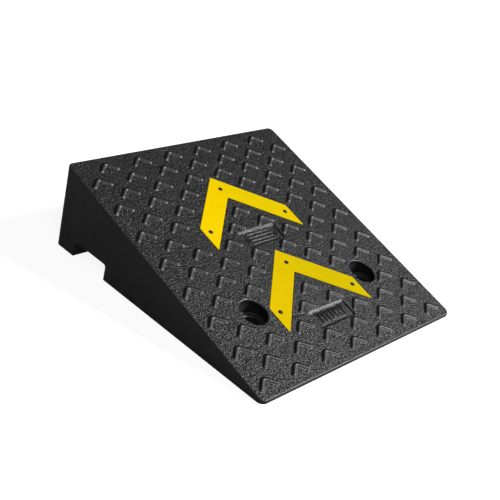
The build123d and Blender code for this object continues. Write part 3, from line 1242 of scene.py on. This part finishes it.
profile = channel_profile()
right_notch = body.ring([(half_width, p.x, p.y) for p in profile])
left_notch = body.ring([(-half_width, p.x, p.y) for p in profile])
roof = len(profile) // 2 - 1
for n in range(len(profile) - 1):
    if n != roof:
        body.face((left_notch[n], left_notch[n + 1], right_notch[n + 1], right_notch[n]))
for start, notch in ((right_start, right_notch), (left_start, left_notch[::-1])):
    end = (start + 1) % len(outline)
    side = [base_ring[start], *notch, base_ring[end], wall_ring[end], wall_ring[start]]
    body.flat([side], north, skyward)
print("faces with side walls and channel:", len(body.faces))

# %% [markdown]
# ## The moulded body: underside
# A solid block of rubber this size would cure slowly and weigh too much, so such ramps are cored from
# below. The underside isn't seen in the photograph; its cells follow the same rule as the CAD part: even
# webs, a skin of even thickness and full rubber round the fixing holes. Booleans could cut them, but two
# rings for each cell, one at its mouth and one at its roof, keep the skin clean.

# %% Body: cells and underside
skin = 16 * MM
side_wall = 24 * MM
web = 12 * MM
cell_size = 46 * MM
cell_columns = 8
cell_min_depth = 9 * MM
cell_corner = 6 * MM
channel_ledge = channel_corner + 2 * border
fixing_wall = 14 * MM
fixing_block = bore_radius + fixing_wall


def cell_rows():
    """Front and rear limits of each row of cells, and the level at which the row opens."""
    middle = (channel_front + channel_rear) / 2
    rows = [
        (channel_front + channel_ledge, middle - web / 2, channel_height),
        (middle + web / 2, channel_rear - channel_ledge, channel_height),
    ]
    rear = channel_front - web
    while cell_roof(rear - cell_size) > cell_min_depth:
        rows.append((rear - cell_size, rear, 0.0))
        rear -= cell_size + web
    return rows


def cell_roof(y):
    """Height of a cell's roof."""
    return top_height(y) - skin / math.cos(slope)


def near_fixing(left, front, right, rear):
    """True where a cell would thin the block round a fixing hole."""
    for x, y in fixing_axes:
        gap = Vector((max(left - x, x - right, 0), max(front - y, y - rear, 0)))
        if gap.length < fixing_block:
            return True
    return False


openings = {0.0: [], channel_height: []}
inside = 2 * (half_width - side_wall)
cell_width = (inside - (cell_columns - 1) * web) / cell_columns
for front, rear, level in cell_rows():
    for column in range(cell_columns):
        left = -inside / 2 + column * (cell_width + web)
        limits = (left, front, left + cell_width, rear)
        if near_fixing(*limits):
            continue
        cell = rounded_outline(rectangle(*limits), cell_corner, 3)
        mouth = body.ring([(p.x, p.y, level) for p in cell])
        ceiling = body.ring([(p.x, p.y, cell_roof(p.y)) for p in cell])
        body.bands([mouth, ceiling])
        body.face(ceiling)
        openings[level].append(mouth)
channel_roof = [left_notch[roof], right_notch[roof], right_notch[roof + 1], left_notch[roof + 1]]
body.flat([channel_roof, *openings[channel_height]], east, north)
print("cells:", {round(level, 3): len(loops) for level, loops in openings.items()})

# %% [markdown]
# ## The moulded body: fixing holes
# Each fixing hole is upright, so its round bore meets the slope in an ellipse, and its moulded rim is
# soft. A Boolean would leave the rim sharp, so the same rolling ball makes it. Below lie a flat floor, a
# stepped seat for the washer and the bolt hole, each a stack of rings on one axis.

# %% Body: fixing holes
bore_steps = 64
rim_radius = 2.6 * MM
bore_foot_round = 2 * MM
seat_round = 2.2 * MM
bolt_mouths = []
top_holes = []


def axis_ring(axis, radius, height):
    """Level ring about an upright axis."""
    return body.ring([(axis[0] + p.x, axis[1] + p.y, height) for p in circle(radius, bore_steps)])


bore_top, bore_foot = Vector((bore_radius, kerb_height)), Vector((bore_radius, bore_floor))
seat_top, seat_foot = Vector((seat_radius, bore_floor)), Vector((seat_radius, 0))
foot = arc_corner(bore_top, bore_foot, seat_top, bore_foot_round, 4)
step = arc_corner(bore_foot, seat_top, seat_foot, seat_round, 4)
for axis in fixing_axes:
    bore = [p + Vector(axis) for p in circle(bore_radius, bore_steps)]
    inward = [-p.normalized() for p in circle(1.0, bore_steps)]
    rim = roll_rings(bore, inward, rim_radius, 6)
    outer_edge = on_plane([Vector(p[:2]) - way * border for p, way in zip(rim[-1], inward)])
    rings = [body.ring(outer_edge)] + [body.ring(r) for r in rim[::-1]]
    rings.append(body.ring(lowered(rim[0], border)))
    rings += [axis_ring(axis, p.x, p.y) for p in [foot[0] + Vector((0, border)), *foot]]
    rings.append(axis_ring(axis, foot[-1].x - border, bore_floor))
    rings.append(axis_ring(axis, step[0].x + border, bore_floor))
    rings += [axis_ring(axis, p.x, p.y) for p in step]
    for radius, height in ((seat_radius, seat_floor), (bolt_radius, seat_floor), (bolt_radius, 0)):
        rings.append(axis_ring(axis, radius, height))
    body.bands(rings)
    top_holes.append(rings[0])
    bolt_mouths.append(rings[-1])
print("fixing hole rings:", len(rings))

# %% [markdown]
# ## The moulded body: seats of the plates
# The plates lie in shallow seats whose edges are slightly rounded, and each seat has three blind holes
# for the rivets. They could be cut into the top with Booleans. As rings of one outline they stay loops in
# the sloping plane, and the top is filled between them later.

# %% Body: seats
seat_corner = 1.6 * MM
seat_rim = 0.5 * MM
rivet_hole = 2.15 * MM
rivet_hole_steps = 16
rivet_hole_depth = 10.15 * MM
seat_outlines = {}


def slope_ring(shell, points, h):
    """Ring of points at one height over the sloping plane."""
    return shell.ring([on_slope(p[0], p[1], h) for p in points])


def rim_steps(radius, steps):
    """Offsets and heights over a rounded rim, from the plane down to the wall."""
    points = [(radius + border, 0.0)]
    for n in range(steps + 1):
        angle = math.pi / 2 * n / steps
        points.append((radius * (1 - math.sin(angle)), radius * (math.cos(angle) - 1)))
    return points


def rivet_holes(shell, apex, upper, lower):
    """Walls of the three rivet holes of one plate, as pairs of an upper and a lower ring."""
    pairs = []
    for x, s in rivet_points(apex):
        hole = [p + Vector((x, s)) for p in circle(rivet_hole, rivet_hole_steps)]
        pairs.append([slope_ring(shell, hole, h) for h in (upper, lower)])
        shell.bands(pairs[-1])
    return pairs


for name, apex in apexes.items():
    corners = grown([Vector(c) for c in chevron_corners(apex)], chevron_fit)
    seat = rounded_outline(corners, seat_corner, 4)
    seat_outlines[name] = seat
    rings = [slope_ring(body, grown(seat, out), h) for out, h in rim_steps(seat_rim, 3)]
    rings.append(slope_ring(body, seat, -chevron_seat))
    body.bands(rings)
    holes = rivet_holes(body, apex, -chevron_seat, -chevron_seat - rivet_hole_depth)
    for mouth, end in holes:
        body.face(end)
    body.flat([rings[-1], *[mouth for mouth, end in holes]], east, up_slope)
    top_holes.append(rings[0])
    print(name, "seat points:", len(seat), "rivet holes:", len(holes))

# %% [markdown]
# ## The moulded body: pockets
# The pockets have steep sides, a leaning front wall and a longer leaning rear wall, all with soft edges.
# An inset and an extrusion by hand would give the same; here a row of numbers for each ring says how far
# it lies in from the sides, the front and the rear, and how deep. The bars stand on the floor.

# %% Body: pockets
pocket_corner = 2.5 * MM
# sides, front, rear and depth of each ring, in millimetres
pocket_rings = [
    (-0.35, -0.35, -0.35, 0),
    (-0.2, -0.2, -0.1, 0.01),
    (-0.05, 0.15, 0.3, 0.11),
    (0, 0.5, 0.9, 0.33),
    (0.2, 2.6, 4.8, 1.745),
    (0.35, 2.9, 5.35, 1.92),
    (0.7, 3.2, 6, 2),
    (1.1, 3.6, 6.5, 2),
]
for middle, bars in zip(pocket_middles, (short_bars, long_bars)):
    rings = []
    for sides, front, rear, depth in pocket_rings:
        corners = pocket_corners(middle, sides * MM, front * MM, rear * MM)
        rings.append(slope_ring(body, rounded_outline(corners, pocket_corner, 4), -depth * MM))
    body.bands(rings)
    feet = body.take(bars, slope_frame)
    body.flat([rings[-1], *feet], east, up_slope)
    top_holes.append(rings[0])
    print("pocket rings:", len(rings), "bars:", len(feet))

# %% [markdown]
# ## The moulded body: top and base
# Seats, pockets, holes and the ribs' feet are all loops in one plane. Joining separate pieces by a
# Boolean could fail on so many edges, so the top is filled once between the loops, and the base likewise.
# Then the whole moulding closes without a seam.

# %% Body: top and base
rib_feet = body.take(tread_mesh, slope_frame)
body.flat([top_ring, *rib_feet, *top_holes], east, up_slope)
front_base = [*base_ring[:right_start + 1], right_notch[0], left_notch[0]]
rear_base = [right_notch[-1], *base_ring[right_start + 1:], left_notch[-1]]
body.flat([front_base, *openings[0.0], *bolt_mouths], east, north)
body.flat([rear_base], east, north)
moulding = body.make("moulded_body", rubber)
print("rib feet:", len(rib_feet))

# %% [markdown]
# ## Arrow plates
# Each plate is a flat yellow sheet with slightly rounded edges, let into its seat and standing a little
# proud of it. A flat face with Solidify and Bevel modifiers would come close. Rings of the seat's outline,
# moved in by the fit, keep the gap round the plate even, and each rivet gets its hole.

# %% Arrow plates
plate_edge = 0.35 * MM
plates = {}
for name, apex in apexes.items():
    plate = Shell()
    sheet = grown(seat_outlines[name], -chevron_fit)
    steps = [(-out, chevron_proud + h) for out, h in rim_steps(plate_edge, 3)]
    steps.append((0, -chevron_seat))
    rings = [slope_ring(plate, grown(sheet, out), h) for out, h in steps]
    plate.bands(rings)
    holes = rivet_holes(plate, apex, chevron_proud, -chevron_seat)
    plate.flat([rings[0], *[upper for upper, lower in holes]], east, up_slope)
    plate.flat([rings[-1], *[lower for upper, lower in holes]], east, up_slope)
    plates[name] = plate.make(name + "_plate", yellow)

# %% [markdown]
# ## Rivets
# Blind rivets hold the plates: a black domed head with the broken end of its mandrel showing in the
# middle. One turned form is made, its middle marked by an attribute that the finish reads. Six copies
# by hand would do, but a third tree sets it on the three places of each plate and so keeps it with them.

# %% Rivets
rivet_steps = 24
rivet_sharp_angle = 50


def lathe(shell, profile, steps):
    """Rings of a turned form about the upright axis, from (radius, height) points."""
    return [shell.ring([(p.x, p.y, height) for p in circle(radius, steps)]) for radius, height in profile]


def rivet_prototype():
    """One rivet about its own axis, its height measured from the sloping plane."""
    shank = [(1.6, -11.5), (2.0, -11.1), (2.0, 0.5)]
    head = [(4.1, 0.5), (4.25, 0.65), (4.15, 0.9), (3.7, 1.25), (2.9, 1.55), (2.1, 1.68), (1.65, 1.66)]
    mandrel = [(1.45, 1.3), (1.35, 1.3), (1.2, 1.5), (0.8, 1.6), (0.3, 1.62)]
    shell = Shell()
    rings = lathe(shell, [(r * MM, h * MM) for r, h in shank + head + mandrel], rivet_steps)
    shell.bands(rings)
    shell.face(rings[0])
    shell.face(rings[-1])
    piece = shell.plain_object("rivet")
    core = piece.data.attributes.new("core", "FLOAT", "POINT")
    first_core = rings[len(shank) + len(head)][0]
    core.data.foreach_set("value", [float(n >= first_core) for n in range(len(shell.corners))])
    return piece


def rivet_tree():
    """A rivet on each of the given places."""
    sockets = {"Rivet": "Object", "Places": "Object", "Material": "Material"}
    tree, given = geometry_tree("rivet_places", sockets)
    values = {"Points": shape_of(tree, given["Places"]), "Instance": shape_of(tree, given["Rivet"])}
    placed = add_node(tree, "GeometryNodeInstanceOnPoints", values)[0]
    end_tree(tree, placed, given["Material"])
    return tree


rivet = rivet_prototype()
set_rivets = rivet_tree()
rivets = {}
for name, apex in apexes.items():
    shell = Shell()
    shell.ring([(x, s, 0) for x, s in rivet_points(apex)])
    places = shell.plain_object("rivet_places")
    mesh = grow(name + "_rivets", set_rivets, {"Rivet": rivet, "Places": places, "Material": rivet_black})
    mesh.transform(slope_frame)
    mesh.shade_smooth()
    mesh.set_sharp_from_angle(angle=math.radians(rivet_sharp_angle))
    rivets[name] = bpy.data.objects.new(name + "_rivets", mesh)
    bpy.context.scene.collection.objects.link(rivets[name])
    print(name, "rivets:", len(mesh.polygons) // len(rivet.data.polygons))
    remove(places)
remove(rivet)

# %% [markdown]
# ## Washers
# A flat steel washer lies in each stepped seat and spreads the load of the bolt that holds the ramp to
# the road. It's a turned ring with broken edges. A Screw modifier could turn it; stacked rings do it with
# the helper that turned the rivets.

# %% Washers
washer_radius = (washer_high.x - washer_low.x) / 2
washer_thickness = washer_high.z - washer_low.z
washer_break = 0.4 * MM
washers = []
for side, (x, y) in zip(("left", "right"), fixing_axes):
    shell = Shell()
    low, high = seat_floor, seat_floor + washer_thickness
    profile = [(bolt_radius, low), (washer_radius - washer_break, low), (washer_radius, low + washer_break)]
    profile += [(washer_radius, high - washer_break), (washer_radius - washer_break, high)]
    profile += [(bolt_radius + washer_break, high), (bolt_radius, high - washer_break)]
    rings = lathe(shell, profile, bore_steps)
    shell.bands([*rings, rings[0]])
    for corner in shell.corners:
        corner += Vector((x, y, 0))
    washers.append(shell.make(side + "_washer", zinc))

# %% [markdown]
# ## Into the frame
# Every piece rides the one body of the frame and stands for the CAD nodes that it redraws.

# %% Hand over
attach(moulding, "root")
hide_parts("ramp_body")
for name in apexes:
    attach(plates[name], "root")
    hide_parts(name)
    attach(rivets[name], "root")
    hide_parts(*[f"{name}_rivet_{place}" for place in ("apex", "left", "right")])
for side, washer in zip(("left", "right"), washers):
    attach(washer, "root")
    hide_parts(side + "_fixing_washer")
